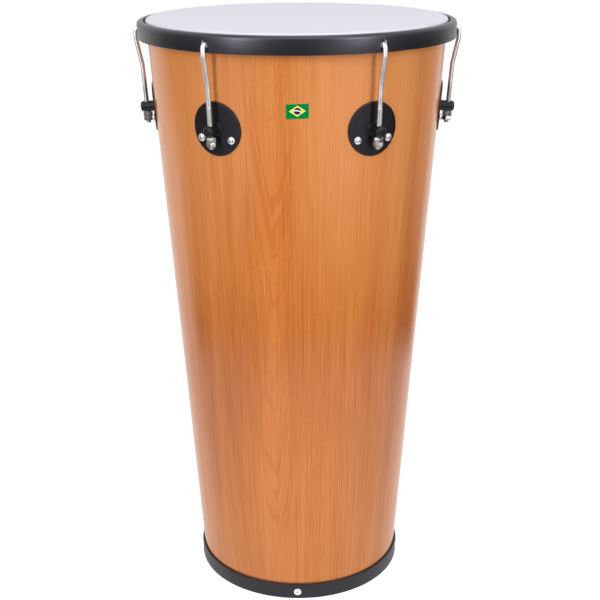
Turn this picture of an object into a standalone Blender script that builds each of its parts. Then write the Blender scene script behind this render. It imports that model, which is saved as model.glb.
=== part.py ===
"""Tall tapered hand drum: a wooden shell with a steel foot ring, a plastic head under a
steel hoop, and hooked tension rods with their lugs, nuts and screws.

Metres, +Z up, the drum stands on the origin and its front faces -Y.
"""

import math

import bmesh
import bpy
from mathutils import Matrix, Vector

# Clearance left wherever two pieces touch
FIT = 0.0003

# Shell
SHELL_FOOT_RADIUS = 0.12756
SHELL_TOP_RADIUS = 0.1767
SHELL_LENGTH = 0.7069
SHELL_WALL = 0.008
EDGE_ROUND = 0.0025
EDGE_FLAT = 0.0015
SEAT_RELIEF = 0.0006

# Foot ring
RING_GAP = 0.0004
RING_HEIGHT = 0.0203
RING_WALL = 0.002
RING_FLOOR = 0.002
RING_EDGE = 0.0008

# Head
FILM_THICKNESS = 0.0004
FLESH_WIDTH = 0.0076
FLESH_HEIGHT = 0.0058
FLESH_CHAMFER = 0.0018

# Tuning hoop
HOOP_WALL = 0.002
HOOP_HEIGHT = 0.0198
HOOP_ROUND = 0.00435
HOOP_BELOW_FILM = 0.002
LIP_GAP = 0.00285

# How far the rods can pull the hoop and flesh hoop down, which the head's collar allows for
TUNE_DOWN = 0.004

# Lugs
LUG_COUNT = 6
LUG_DROP = 0.1042
PLATE_RADIUS = 0.0302
PLATE_THICKNESS = 0.0017
POST_RADIUS = 0.0063
POST_BEYOND_ROD = 0.0075
POST_ROUND = 0.0018
POST_BORE_PLAY = 0.0005

# Tension hooks
ROD_RADIUS = 0.00265
THREAD_RADIUS = 0.003
ROD_OFFSET = 0.0115
THREAD_ABOVE_POST = 0.025
ROD_BELOW_NUTS = 0.003
HOOK_GAP_INSIDE = 0.0005
HOOK_GAP_OUTSIDE = 0.00125
HOOK_LEG = 0.0034
HOOK_DROP = 0.0124
KINK_ABOVE_POST = 0.0505
HOOK_BEND = 0.012
KINK_BEND = 0.025
HOOK_HOLE_RADIUS = 0.0042
HOOK_HOLE_PLAY = 0.0004
ROD_END_CHAMFER = 0.0006

# Nuts on the hooks
NUT_FLATS = 0.010
NUT_HEIGHT = 0.005
NUT_CHAMFER = 0.0006
NUT_TURN = math.pi / 6

# Lug screws and the nuts inside the shell
SCREW_RADIUS = 0.0025
SCREW_HEAD_RADIUS = 0.0045
SCREW_HEAD_HEIGHT = 0.0028
SCREW_SPREAD = 0.019
SCREW_DROP = 0.0109
SCREW_TIP_PROUD = 0.0015
INNER_NUT_FLATS = 0.008
INNER_NUT_HEIGHT = 0.004

# Rivets through the foot ring
RIVET_COUNT = 4
RIVET_RADIUS = 0.0024
RIVET_HEAD_RADIUS = 0.00475
RIVET_HEAD_HEIGHT = 0.0013
RIVET_PIN_RADIUS = 0.0012
RIVET_PIN_DEPTH = 0.0009
RIVET_RIM_DROP = 0.0002
RIVET_BULB_RADIUS = 0.0035
RIVET_BULB_LENGTH = 0.004

# Facets
TURN_STEPS = 60
PLATE_LAYER_STEPS = 120
PLATE_STEPS = 36
POST_STEPS = 20
SMALL_STEPS = 12
HOLE_STEPS = 14
NUT_BORE_STEPS = 12
ARCH_STEPS = 8
BEND_STEPS = 4
DOME_STEPS = 3
EDGE_STEPS = 3
FILM_STEPS = 4
HOOP_STEPS = 5
POST_ROUND_STEPS = 2
ROD_BEVEL = 3
SHARP_ANGLE = math.radians(35)

# Heights and radii that follow from the sizes above
FOOT_Z = RING_FLOOR + FIT
EDGE_Z = FOOT_Z + SHELL_LENGTH
TAPER = (SHELL_TOP_RADIUS - SHELL_FOOT_RADIUS) / SHELL_LENGTH
WALL_ANGLE = math.atan(TAPER)
RING_RADIUS = SHELL_FOOT_RADIUS + TAPER * (RING_HEIGHT - FOOT_Z) + RING_GAP + RING_WALL
LUG_HEIGHT = EDGE_Z - LUG_DROP
SEAT_RADIUS = SHELL_TOP_RADIUS - SEAT_RELIEF
COLLAR_RADIUS = SEAT_RADIUS + FIT + FILM_THICKNESS
FILM_Z = EDGE_Z + FIT + FILM_THICKNESS
HOOP_TOP_Z = FILM_Z - HOOP_BELOW_FILM
HOOP_FOOT_Z = HOOP_TOP_Z - HOOP_HEIGHT
FLESH_INNER_RADIUS = COLLAR_RADIUS + FIT
FLESH_OUTER_RADIUS = FLESH_INNER_RADIUS + FLESH_WIDTH
FLESH_TOP_Z = HOOP_TOP_Z - HOOP_WALL - FIT
FLESH_FOOT_Z = FLESH_TOP_Z - FLESH_HEIGHT
HOOP_INNER_RADIUS = FLESH_OUTER_RADIUS + FIT
HOOP_RADIUS = HOOP_INNER_RADIUS + HOOP_WALL
HOOP_LIP_RADIUS = COLLAR_RADIUS + LIP_GAP
HOOK_INNER_RADIUS = HOOP_INNER_RADIUS - HOOK_GAP_INSIDE - ROD_RADIUS
HOOK_OUTER_RADIUS = HOOP_RADIUS + HOOK_GAP_OUTSIDE + ROD_RADIUS
ARCH_RADIUS = (HOOK_OUTER_RADIUS - HOOK_INNER_RADIUS) / 2
ARCH_MID_RADIUS = (HOOK_OUTER_RADIUS + HOOK_INNER_RADIUS) / 2
ARCH_MID_Z = FLESH_FOOT_Z - FIT - ROD_RADIUS - ARCH_RADIUS
POST_END = ROD_OFFSET + POST_BEYOND_ROD
PLATE_FACE = FIT + PLATE_THICKNESS


def shell_radius(z):
    """Radius of the shell's tapered outer face at a height."""
    return SHELL_FOOT_RADIUS + TAPER * (z - FOOT_Z)


def clear_scene():
    for old in list(bpy.data.objects):
        bpy.data.objects.remove(old)


def make_collection(name):
    collection = bpy.data.collections.new(name)
    bpy.context.scene.collection.children.link(collection)
    return collection


def make_material(name, color, roughness, metallic):
    material = bpy.data.materials.new(name)
    material.use_nodes = True
    shader = material.node_tree.nodes["Principled BSDF"]
    shader.inputs["Base Color"].default_value = (*color, 1.0)
    shader.inputs["Roughness"].default_value = roughness
    shader.inputs["Metallic"].default_value = metallic
    return material


def add_object(name, data, collection, parent=None, matrix=None):
    obj = bpy.data.objects.new(name, data)
    collection.objects.link(obj)
    obj.parent = parent
    if matrix is not None:
        obj.matrix_local = matrix
    return obj


def hide_tool(obj):
    """Mark an object as a cutter or guide, which isn't part of the drum."""
    obj.hide_render = True
    obj.display_type = "WIRE"


def arc(centre, radius, start, end, steps):
    """Points on an arc from one angle to another, in degrees."""
    points = []
    for i in range(steps + 1):
        angle = math.radians(start + (end - start) * i / steps)
        points.append((centre[0] + radius * math.cos(angle), centre[1] + radius * math.sin(angle)))
    return points


def dome(radius, height, seat, steps):
    """Profile of a domed head from its top down to its rim."""
    points = []
    for i in range(steps + 1):
        angle = math.pi / 2 * i / steps
        points.append((radius * math.sin(angle), seat + height * math.cos(angle)))
    return points


def turned(name, profile, collection, closed=True, steps=TURN_STEPS, parent=None, matrix=None):
    """Turn a profile of radius and height points about Z. It runs down its outer side."""
    mesh = bpy.data.meshes.new(name)
    vertices = [(radius, 0.0, height) for radius, height in profile]
    edges = [(i, i + 1) for i in range(len(profile) - 1)]
    if closed:
        edges.append((len(profile) - 1, 0))
    mesh.from_pydata(vertices, edges, [])
    obj = add_object(name, mesh, collection, parent, matrix)
    screw = obj.modifiers.new("Turn", "SCREW")
    screw.steps = steps
    screw.render_steps = steps
    screw.use_merge_vertices = True
    screw.merge_threshold = 0.00001
    screw.use_smooth_shade = True
    return obj


def prism(name, radius, low, high, sides, collection, parent=None, matrix=None, turn=0.0):
    """A straight prism along its own Z, from low to high."""
    mesh = bpy.data.meshes.new(name)
    bm = bmesh.new()
    place = Matrix.Translation((0, 0, (low + high) / 2)) @ Matrix.Rotation(turn, 4, "Z")
    bmesh.ops.create_cone(bm, cap_ends=True, segments=sides, radius1=radius, radius2=radius,
                          depth=high - low, matrix=place)
    bm.to_mesh(mesh)
    bm.free()
    return add_object(name, mesh, collection, parent, matrix)


def drills(name, frames, radius, low, high, steps=HOLE_STEPS):
    """One cutter made of a straight drill along Z of each frame."""
    mesh = bpy.data.meshes.new(name)
    bm = bmesh.new()
    for frame in frames:
        place = frame @ Matrix.Translation((0, 0, (low + high) / 2))
        bmesh.ops.create_cone(bm, cap_ends=True, segments=steps, radius1=radius, radius2=radius,
                              depth=high - low, matrix=place)
    bm.to_mesh(mesh)
    bm.free()
    cutter = add_object(name, mesh, tools)
    hide_tool(cutter)
    return cutter


def combine(obj, other, operation):
    modifier = obj.modifiers.new(operation.title(), "BOOLEAN")
    modifier.operation = operation
    modifier.object = other


def baked(obj):
    """The evaluated shape as a plain mesh. The object itself is removed."""
    bpy.context.view_layer.update()
    depsgraph = bpy.context.evaluated_depsgraph_get()
    mesh = bpy.data.meshes.new_from_object(obj.evaluated_get(depsgraph))
    bpy.data.objects.remove(obj)
    return mesh


def finish_mesh(mesh, material):
    mesh.materials.clear()
    mesh.materials.append(material)
    mesh.shade_smooth()
    mesh.set_sharp_from_angle(angle=SHARP_ANGLE)


def settle(obj, material):
    """Replace an object's modifiers by their result, shade it and give it its material."""
    name = obj.name
    collection = obj.users_collection[0]
    parent = obj.parent
    matrix = obj.matrix_local.copy()
    mesh = baked(obj)
    mesh.name = name
    finish_mesh(mesh, material)
    return add_object(name, mesh, collection, parent, matrix)


def wall_frame(azimuth, height):
    """Frame on the shell's outer face: X to the right, Y up the wall, Z out of it."""
    side = Matrix.Rotation(azimuth, 4, "Z")
    stand = Matrix.Translation((0, -shell_radius(height), height))
    tilt = Matrix.Rotation(math.pi / 2 + WALL_ANGLE, 4, "X")
    return side @ stand @ tilt


def level_frame(azimuth, radius, height):
    """Frame at a radius and height with its Z pointing level and outwards."""
    side = Matrix.Rotation(azimuth, 4, "Z")
    stand = Matrix.Translation((0, -radius, height))
    return side @ stand @ Matrix.Rotation(math.pi / 2, 4, "X")


def lug_azimuth(index):
    """Azimuth from the front, towards +X. The first lug is the front left one."""
    step = 2 * math.pi / LUG_COUNT
    return (index - 0.5) * step


def screw_frames(azimuth):
    """Frames of the two screws of the lug at an azimuth."""
    height = LUG_HEIGHT - SCREW_DROP * math.cos(WALL_ANGLE)
    turn = SCREW_SPREAD / shell_radius(height)
    return [wall_frame(azimuth - turn, height), wall_frame(azimuth + turn, height)]


def make_shell():
    crown = (SEAT_RADIUS - EDGE_ROUND, EDGE_Z - EDGE_ROUND)
    flat_end = SEAT_RADIUS - EDGE_ROUND - EDGE_FLAT
    inner_top = SHELL_TOP_RADIUS - SHELL_WALL
    chamfer = (flat_end - inner_top) / (1 - TAPER)
    seat_foot = EDGE_Z - SEAT_RELIEF / TAPER
    profile = [(flat_end, EDGE_Z)]
    profile += arc(crown, EDGE_ROUND, 90, 0, EDGE_STEPS)
    profile += [
        (SEAT_RADIUS, seat_foot),
        (SHELL_FOOT_RADIUS, FOOT_Z),
        (SHELL_FOOT_RADIUS - SHELL_WALL, FOOT_Z),
        (flat_end - chamfer, EDGE_Z - chamfer),
    ]
    shell = turned("shell", profile, drum)
    screw_holes = drills("shell_screw_drills", all_screw_frames, SCREW_RADIUS + FIT,
                         -2 * SHELL_WALL, SHELL_WALL)
    rivet_holes = drills("shell_rivet_drills", rivet_frames, RIVET_RADIUS + FIT,
                         -3 * SHELL_WALL, SHELL_WALL)
    combine(shell, screw_holes, "DIFFERENCE")
    combine(shell, rivet_holes, "DIFFERENCE")
    return settle(shell, wood)


def make_ring():
    inner = RING_RADIUS - RING_WALL
    floor_edge = SHELL_FOOT_RADIUS - SHELL_WALL
    profile = [
        (inner, RING_HEIGHT),
        (RING_RADIUS - RING_EDGE, RING_HEIGHT),
        (RING_RADIUS, RING_HEIGHT - RING_EDGE),
        (RING_RADIUS, RING_EDGE),
        (RING_RADIUS - RING_EDGE, 0.0),
        (floor_edge, 0.0),
        (floor_edge, RING_FLOOR),
        (inner, RING_FLOOR),
    ]
    ring = turned("bottom_ring", profile, drum)
    holes = drills("ring_rivet_drills", rivet_frames, RIVET_RADIUS + FIT, -2 * RING_WALL, RING_WALL)
    combine(ring, holes, "DIFFERENCE")
    return settle(ring, ring_paint)


def make_film():
    crown = (SEAT_RADIUS - EDGE_ROUND, EDGE_Z - EDGE_ROUND)
    inner_round = EDGE_ROUND + FIT
    outer_round = inner_round + FILM_THICKNESS
    collar_foot = FLESH_FOOT_Z - TUNE_DOWN - FIT
    profile = [(0.0, FILM_Z)]
    profile += arc(crown, outer_round, 90, 0, FILM_STEPS)
    profile += [(COLLAR_RADIUS, collar_foot), (COLLAR_RADIUS - FILM_THICKNESS, collar_foot)]
    profile += arc(crown, inner_round, 0, 90, FILM_STEPS)
    profile += [(0.0, FILM_Z - FILM_THICKNESS)]
    film = turned("head_film", profile, drum, closed=False)
    return settle(film, film_plastic)


def make_flesh_hoop():
    profile = [
        (FLESH_INNER_RADIUS, FLESH_TOP_Z),
        (FLESH_OUTER_RADIUS - FLESH_CHAMFER, FLESH_TOP_Z),
        (FLESH_OUTER_RADIUS, FLESH_TOP_Z - FLESH_CHAMFER),
        (FLESH_OUTER_RADIUS, FLESH_FOOT_Z),
        (FLESH_INNER_RADIUS, FLESH_FOOT_Z),
    ]
    return settle(turned("flesh_hoop", profile, drum), flesh_metal)


def make_tuning_hoop():
    bend = (HOOP_RADIUS - HOOP_ROUND, HOOP_TOP_Z - HOOP_ROUND)
    inner_round = HOOP_ROUND - HOOP_WALL
    profile = [(HOOP_LIP_RADIUS, HOOP_TOP_Z)]
    profile += arc(bend, HOOP_ROUND, 90, 0, HOOP_STEPS)
    profile += [(HOOP_RADIUS, HOOP_FOOT_Z), (HOOP_INNER_RADIUS, HOOP_FOOT_Z)]
    profile += arc(bend, inner_round, 0, 90, EDGE_STEPS)
    profile += [(HOOP_LIP_RADIUS, HOOP_TOP_Z - HOOP_WALL)]
    hoop = turned("tuning_hoop", profile, drum)
    frames = []
    for index in range(LUG_COUNT):
        frames.append(level_frame(lug_azimuth(index), HOOP_RADIUS, hook_hole_height()))
    holes = drills("hoop_hook_drills", frames, HOOK_HOLE_RADIUS, -2 * HOOP_WALL, HOOP_WALL)
    combine(hoop, holes, "DIFFERENCE")
    return settle(hoop, hoop_paint)


def hook_hole_height():
    """Height of the hole whose lower edge the hook's arch hangs on."""
    under_arch = ARCH_RADIUS - ROD_RADIUS
    reach = ARCH_MID_RADIUS - HOOP_INNER_RADIUS
    saddle = ARCH_MID_Z + math.sqrt(under_arch ** 2 - reach ** 2)
    return saddle - HOOK_HOLE_PLAY + HOOK_HOLE_RADIUS


def along_wall(radius, height):
    """A point beside a lug as distances up the wall and out of it, from the lug's centre."""
    right = radius - shell_radius(LUG_HEIGHT)
    up = height - LUG_HEIGHT
    sine = math.sin(WALL_ANGLE)
    cosine = math.cos(WALL_ANGLE)
    return Vector((right * sine + up * cosine, right * cosine - up * sine))


def filleted(before, corner, after, radius, steps):
    """Points that round a corner between two straight runs."""
    into = (corner - before).normalized()
    out = (after - corner).normalized()
    turn = into.angle(out)
    reach = radius * math.tan(turn / 2)
    start = corner - into * reach
    side = Vector((-into.y, into.x))
    if side.dot(out) < 0:
        side.negate()
    points = []
    for i in range(steps + 1):
        angle = turn * i / steps
        points.append(start + into * (radius * math.sin(angle)) + side * (radius * (1 - math.cos(angle))))
    return points


def hook_path():
    """The hook's centre line as points up and out, and the tube's radius at each."""
    tip = along_wall(HOOK_INNER_RADIUS, ARCH_MID_Z - HOOK_LEG)
    tip_shoulder = along_wall(HOOK_INNER_RADIUS, ARCH_MID_Z - HOOK_LEG + ROD_END_CHAMFER)
    arch = []
    for radius, height in arc((ARCH_MID_RADIUS, ARCH_MID_Z), ARCH_RADIUS, 180, 0, ARCH_STEPS):
        arch.append(along_wall(radius, height))
    bend = along_wall(HOOK_OUTER_RADIUS, ARCH_MID_Z + ARCH_RADIUS - HOOK_DROP)
    kink = Vector((KINK_ABOVE_POST, ROD_OFFSET))
    thread_top = Vector((THREAD_ABOVE_POST, ROD_OFFSET))
    thread_start = Vector((THREAD_ABOVE_POST - ROD_END_CHAMFER, ROD_OFFSET))
    end = Vector((rod_end(), ROD_OFFSET))
    end_shoulder = Vector((rod_end() + ROD_END_CHAMFER, ROD_OFFSET))
    plain = [tip_shoulder] + arch
    plain += filleted(arch[-1], bend, kink, HOOK_BEND, BEND_STEPS)
    plain += filleted(bend, kink, thread_top, KINK_BEND, BEND_STEPS)
    plain.append(thread_top)
    path = [(tip, ROD_RADIUS - ROD_END_CHAMFER)]
    path += [(point, ROD_RADIUS) for point in plain]
    path += [(thread_start, THREAD_RADIUS), (end_shoulder, THREAD_RADIUS)]
    path.append((end, THREAD_RADIUS - ROD_END_CHAMFER))
    return path


def rod_end():
    """The rod's lower end, up the wall from the lug's centre."""
    return -(POST_RADIUS + 2 * (FIT + NUT_HEIGHT) + ROD_BELOW_NUTS)


def make_hook_mesh():
    path = hook_path()
    curve = bpy.data.curves.new("hook_line", "CURVE")
    curve.dimensions = "3D"
    curve.bevel_depth = ROD_RADIUS
    curve.bevel_resolution = ROD_BEVEL
    curve.use_fill_caps = True
    spline = curve.splines.new("POLY")
    spline.points.add(len(path) - 1)
    for point, (place, radius) in zip(spline.points, path):
        point.co = (0.0, place.x, place.y - ROD_OFFSET, 1.0)
        point.radius = radius / ROD_RADIUS
    mesh = baked(add_object("hook_line", curve, tools))
    bm = bmesh.new()
    bm.from_mesh(mesh)
    bmesh.ops.remove_doubles(bm, verts=bm.verts, dist=0.00001)
    bm.to_mesh(mesh)
    bm.free()
    finish_mesh(mesh, rod_chrome)
    return mesh


def make_lug_mesh():
    """Round plate curved to the shell, with the drilled post welded to it."""
    azimuth = lug_azimuth(0)
    frame = wall_frame(azimuth, LUG_HEIGHT)
    low = LUG_HEIGHT - 2 * PLATE_RADIUS
    high = LUG_HEIGHT + 2 * PLATE_RADIUS
    out = PLATE_FACE / math.cos(WALL_ANGLE)
    clear = FIT / math.cos(WALL_ANGLE)
    layer = turned("plate_layer", [
        (shell_radius(high) + out, high),
        (shell_radius(low) + out, low),
        (shell_radius(low) + clear, low),
        (shell_radius(high) + clear, high),
    ], tools, steps=PLATE_LAYER_STEPS)
    hide_tool(layer)
    plate = prism("lug_plate", PLATE_RADIUS, -2 * POST_RADIUS, 2 * POST_RADIUS, PLATE_STEPS, tools,
                  matrix=frame)
    combine(plate, layer, "INTERSECT")
    root = FIT + PLATE_THICKNESS / 2
    profile = [(0.0, POST_END)]
    profile += arc((POST_RADIUS - POST_ROUND, POST_END - POST_ROUND), POST_ROUND, 90, 0, POST_ROUND_STEPS)
    profile += [(POST_RADIUS, root), (0.0, root)]
    post = turned("lug_post", profile, tools, closed=False, steps=POST_STEPS, matrix=frame)
    hide_tool(post)
    combine(plate, post, "UNION")
    bore_frame = frame @ Matrix.Translation((0, 0, ROD_OFFSET)) @ Matrix.Rotation(-math.pi / 2, 4, "X")
    bore = drills("post_bore_drill", [bore_frame], THREAD_RADIUS + POST_BORE_PLAY,
                  -2 * POST_RADIUS, 2 * POST_RADIUS)
    combine(plate, bore, "DIFFERENCE")
    holes = drills("plate_screw_drills", screw_frames(azimuth), SCREW_RADIUS + FIT,
                   -PLATE_THICKNESS, 3 * PLATE_THICKNESS)
    combine(plate, holes, "DIFFERENCE")
    mesh = baked(plate)
    finish_mesh(mesh, lug_paint)
    return mesh


def make_nut_mesh(name, flats, height, bore, chamfer, material):
    """Hexagon nut about its own Z, from 0 down to its height, with turned corners."""
    corner = flats / 2 / math.cos(math.pi / 6)
    nut = prism(name, corner, -height, 0.0, 6, tools, turn=NUT_TURN)
    if chamfer > 0:
        turning = turned(name + "_turning", [
            (0.0, FIT),
            (corner - chamfer - 2 * FIT, FIT),
            (corner + chamfer, -2 * chamfer - FIT),
            (corner + chamfer, -height + 2 * chamfer + FIT),
            (corner - chamfer - 2 * FIT, -height - FIT),
            (0.0, -height - FIT),
        ], tools, closed=False, steps=SMALL_STEPS)
        hide_tool(turning)
        combine(nut, turning, "INTERSECT")
    hole = drills(name + "_drill", [Matrix.Identity(4)], bore, -2 * height, height, NUT_BORE_STEPS)
    combine(nut, hole, "DIFFERENCE")
    mesh = baked(nut)
    finish_mesh(mesh, material)
    return mesh


def make_screw_mesh():
    """Round-headed screw along its own Z, measured from the shell's outer face."""
    seat = PLATE_FACE + FIT
    tip = -(SHELL_WALL + FIT + INNER_NUT_HEIGHT + SCREW_TIP_PROUD)
    profile = dome(SCREW_HEAD_RADIUS, SCREW_HEAD_HEIGHT, seat, DOME_STEPS)
    profile += [
        (SCREW_RADIUS, seat),
        (SCREW_RADIUS, tip),
        (0.0, tip),
    ]
    mesh = baked(turned("screw_shape", profile, tools, closed=False, steps=SMALL_STEPS))
    finish_mesh(mesh, screw_steel)
    return mesh


def make_rivet_mesh():
    """Blind rivet along its own Z, measured from the foot ring's outer face."""
    seat = FIT
    inner_face = shell_radius(RING_HEIGHT / 2 - RIVET_BULB_RADIUS) - SHELL_WALL - RING_RADIUS
    bulb = inner_face - FIT
    top = seat + RIVET_HEAD_HEIGHT
    profile = [
        (0.0, top - RIVET_PIN_DEPTH),
        (RIVET_PIN_RADIUS, top - RIVET_PIN_DEPTH),
        (RIVET_PIN_RADIUS, top - RIVET_RIM_DROP),
    ]
    profile += dome(RIVET_HEAD_RADIUS, RIVET_HEAD_HEIGHT, seat, DOME_STEPS)[1:]
    profile += [
        (RIVET_RADIUS, seat),
        (RIVET_RADIUS, bulb),
        (RIVET_BULB_RADIUS, bulb - RIVET_BULB_LENGTH / 2),
        (RIVET_RADIUS, bulb - RIVET_BULB_LENGTH),
        (0.0, bulb - RIVET_BULB_LENGTH),
    ]
    mesh = baked(turned("rivet_shape", profile, tools, closed=False, steps=SMALL_STEPS))
    finish_mesh(mesh, rivet_metal)
    return mesh


def make_lug_stations():
    """Put a lug, hook, two nuts, two screws and their inner nuts at each place round the shell."""
    hook = make_hook_mesh()
    lug = make_lug_mesh()
    nut = make_nut_mesh("nut_shape", NUT_FLATS, NUT_HEIGHT, THREAD_RADIUS + FIT, NUT_CHAMFER, nut_steel)
    inner_nut = make_nut_mesh("inner_nut_shape", INNER_NUT_FLATS, INNER_NUT_HEIGHT,
                              SCREW_RADIUS + FIT, 0.0, nut_steel)
    screw = make_screw_mesh()
    upright = Matrix.Rotation(-math.pi / 2, 4, "X")
    rod_axis = Matrix.Translation((0, 0, ROD_OFFSET))
    nut_top = -(POST_RADIUS + FIT)
    lock_top = nut_top - NUT_HEIGHT - FIT
    for index in range(LUG_COUNT):
        number = index + 1
        azimuth = lug_azimuth(index)
        station = add_object(f"station_{number}", None, drum, matrix=wall_frame(azimuth, LUG_HEIGHT))
        add_object(f"lug_{number}", lug, drum, station)
        add_object(f"hook_{number}", hook, drum, station, rod_axis)
        for name, top in ((f"tuning_nut_{number}", nut_top), (f"lock_nut_{number}", lock_top)):
            add_object(name, nut, drum, station, rod_axis @ Matrix.Translation((0, top, 0)) @ upright)
        for side, frame in zip(("left", "right"), screw_frames(azimuth)):
            add_object(f"lug_screw_{number}_{side}", screw, drum, matrix=frame)
            inside = frame @ Matrix.Translation((0, 0, -SHELL_WALL - FIT))
            add_object(f"inner_nut_{number}_{side}", inner_nut, drum, matrix=inside)


def make_rivets():
    rivet = make_rivet_mesh()
    for index, frame in enumerate(rivet_frames):
        add_object(f"ring_rivet_{index + 1}", rivet, drum, matrix=frame)


clear_scene()
drum = make_collection("timbal drum")
tools = make_collection("cutters")

wood = make_material("shell wood", (0.62, 0.25, 0.075), 0.28, 0.0)
ring_paint = make_material("foot ring paint", (0.035, 0.035, 0.038), 0.45, 0.0)
film_plastic = make_material("head film", (0.80, 0.78, 0.86), 0.4, 0.0)
flesh_metal = make_material("flesh hoop metal", (0.10, 0.10, 0.11), 0.5, 1.0)
hoop_paint = make_material("hoop paint", (0.02, 0.02, 0.022), 0.35, 0.0)
lug_paint = make_material("lug paint", (0.018, 0.018, 0.022), 0.4, 0.0)
rod_chrome = make_material("rod chrome", (0.75, 0.77, 0.80), 0.12, 1.0)
nut_steel = make_material("nut steel", (0.60, 0.57, 0.53), 0.3, 1.0)
screw_steel = make_material("screw steel", (0.74, 0.75, 0.77), 0.2, 1.0)
rivet_metal = make_material("rivet metal", (0.70, 0.71, 0.73), 0.3, 1.0)

all_screw_frames = []
for lug_index in range(LUG_COUNT):
    all_screw_frames += screw_frames(lug_azimuth(lug_index))
rivet_frames = []
for rivet_index in range(RIVET_COUNT):
    rivet_frames.append(level_frame(rivet_index * 2 * math.pi / RIVET_COUNT, RING_RADIUS, RING_HEIGHT / 2))

make_shell()
make_ring()
make_film()
make_flesh_hoop()
make_tuning_hoop()
make_lug_stations()
make_rivets()
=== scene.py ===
"""The looks of a tall tapered hand drum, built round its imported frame."""

import math

import bmesh
import bpy
from mathutils import Matrix, Vector


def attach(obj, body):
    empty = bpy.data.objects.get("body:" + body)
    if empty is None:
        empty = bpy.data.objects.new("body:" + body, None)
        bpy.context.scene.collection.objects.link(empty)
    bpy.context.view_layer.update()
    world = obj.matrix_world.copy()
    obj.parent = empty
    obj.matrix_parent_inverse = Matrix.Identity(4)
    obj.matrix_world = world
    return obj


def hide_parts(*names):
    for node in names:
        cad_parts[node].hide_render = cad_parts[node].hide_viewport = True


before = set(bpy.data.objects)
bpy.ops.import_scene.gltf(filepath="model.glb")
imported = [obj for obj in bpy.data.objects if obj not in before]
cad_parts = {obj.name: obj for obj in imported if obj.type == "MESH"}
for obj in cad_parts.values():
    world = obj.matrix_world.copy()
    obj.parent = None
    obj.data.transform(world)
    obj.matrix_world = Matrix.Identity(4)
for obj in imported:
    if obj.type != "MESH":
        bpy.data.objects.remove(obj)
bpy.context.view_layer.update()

# Sizes shared with the solids, in metres
FIT = 0.0003
SHELL_FOOT_RADIUS = 0.12756
SHELL_TOP_RADIUS = 0.1767
SHELL_LENGTH = 0.7069
SHELL_WALL = 0.008
FOOT_Z = 0.0023
EDGE_Z = FOOT_Z + SHELL_LENGTH
TAPER = (SHELL_TOP_RADIUS - SHELL_FOOT_RADIUS) / SHELL_LENGTH
WALL_ANGLE = math.atan(TAPER)
EDGE_ROUND = 0.0025
EDGE_FLAT = 0.0015
SEAT_RELIEF = 0.0006
SEAT_RADIUS = SHELL_TOP_RADIUS - SEAT_RELIEF
EDGE_CENTRE = (SEAT_RADIUS - EDGE_ROUND, EDGE_Z - EDGE_ROUND)
RING_HEIGHT = 0.0203
RING_WALL = 0.002
RING_RADIUS = SHELL_FOOT_RADIUS + TAPER * (RING_HEIGHT - FOOT_Z) + 0.0004 + RING_WALL
RING_FLOOR = 0.002
FILM = 0.0004
FILM_Z = EDGE_Z + FIT + FILM
COLLAR_RADIUS = SEAT_RADIUS + FIT + FILM
HOOP_WALL = 0.002
HOOP_TOP_Z = FILM_Z - 0.002
HOOP_FOOT_Z = HOOP_TOP_Z - 0.0198
HOOP_ROUND = 0.00435
FLESH_INNER_RADIUS = COLLAR_RADIUS + FIT
FLESH_OUTER_RADIUS = FLESH_INNER_RADIUS + 0.0076
FLESH_TOP_Z = HOOP_TOP_Z - HOOP_WALL - FIT
FLESH_FOOT_Z = FLESH_TOP_Z - 0.0058
HOOP_INNER_RADIUS = FLESH_OUTER_RADIUS + FIT
HOOP_RADIUS = HOOP_INNER_RADIUS + HOOP_WALL
HOOP_LIP_RADIUS = COLLAR_RADIUS + 0.00285
LUG_COUNT = 6
LUG_HEIGHT = EDGE_Z - 0.1042
PLATE_RADIUS = 0.0302
PLATE_THICKNESS = 0.0017
POST_RADIUS = 0.0063
ROD_OFFSET = 0.0115
POST_END = ROD_OFFSET + 0.0075
ROD_RADIUS = 0.00265
THREAD_RADIUS = 0.003
THREAD_ABOVE_POST = 0.025
THREAD_PITCH = 0.001
THREAD_DEPTH = 0.0006
ROD_END_CHAMFER = 0.0006
HOOK_INNER_RADIUS = HOOP_INNER_RADIUS - 0.0005 - ROD_RADIUS
HOOK_OUTER_RADIUS = HOOP_RADIUS + 0.0011 + ROD_RADIUS
ARCH_RADIUS = (HOOK_OUTER_RADIUS - HOOK_INNER_RADIUS) / 2
ARCH_MID_RADIUS = (HOOK_OUTER_RADIUS + HOOK_INNER_RADIUS) / 2
ARCH_MID_Z = FLESH_FOOT_Z - FIT - ROD_RADIUS - ARCH_RADIUS
HOOK_LEG = 0.0034
HOOK_DROP = 0.0124
KINK_ABOVE_POST = 0.0505
HOOK_HOLE_RADIUS = 0.0042
NUT_FLATS = 0.010
NUT_HEIGHT = 0.005
NUT_TOP = -(POST_RADIUS + FIT)
ROD_END = -(POST_RADIUS + 2 * (FIT + NUT_HEIGHT) + 0.003)
SCREW_RADIUS = 0.0025
SCREW_HEAD_RADIUS = 0.0045
SCREW_HEAD_HEIGHT = 0.0028
SCREW_SPREAD = 0.019
SCREW_DROP = 0.0109
SCREW_SEAT = FIT + PLATE_THICKNESS + FIT
INNER_NUT_FLATS = 0.008
INNER_NUT_HEIGHT = 0.004
SCREW_TIP = -(SHELL_WALL + FIT + INNER_NUT_HEIGHT + 0.0015)
RIVET_COUNT = 4
RIVET_HEIGHT = RING_HEIGHT / 2
RIVET_RADIUS = 0.0024
RIVET_HEAD_RADIUS = 0.00475
RIVET_HEAD_HEIGHT = 0.0013

# Places of the veneer's marks and of its painted shade, and the radii at which its grain is drawn
VENEER_RADIUS = 0.152
PLY_RADIUS = 0.145
FIGURE_LEFT = 0.027
RING_SHADE_Z = RING_HEIGHT + 0.0004
SEAT_SHADE_Z = HOOP_FOOT_Z - 0.0025
SHADE_WIDTH = 0.003


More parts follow.
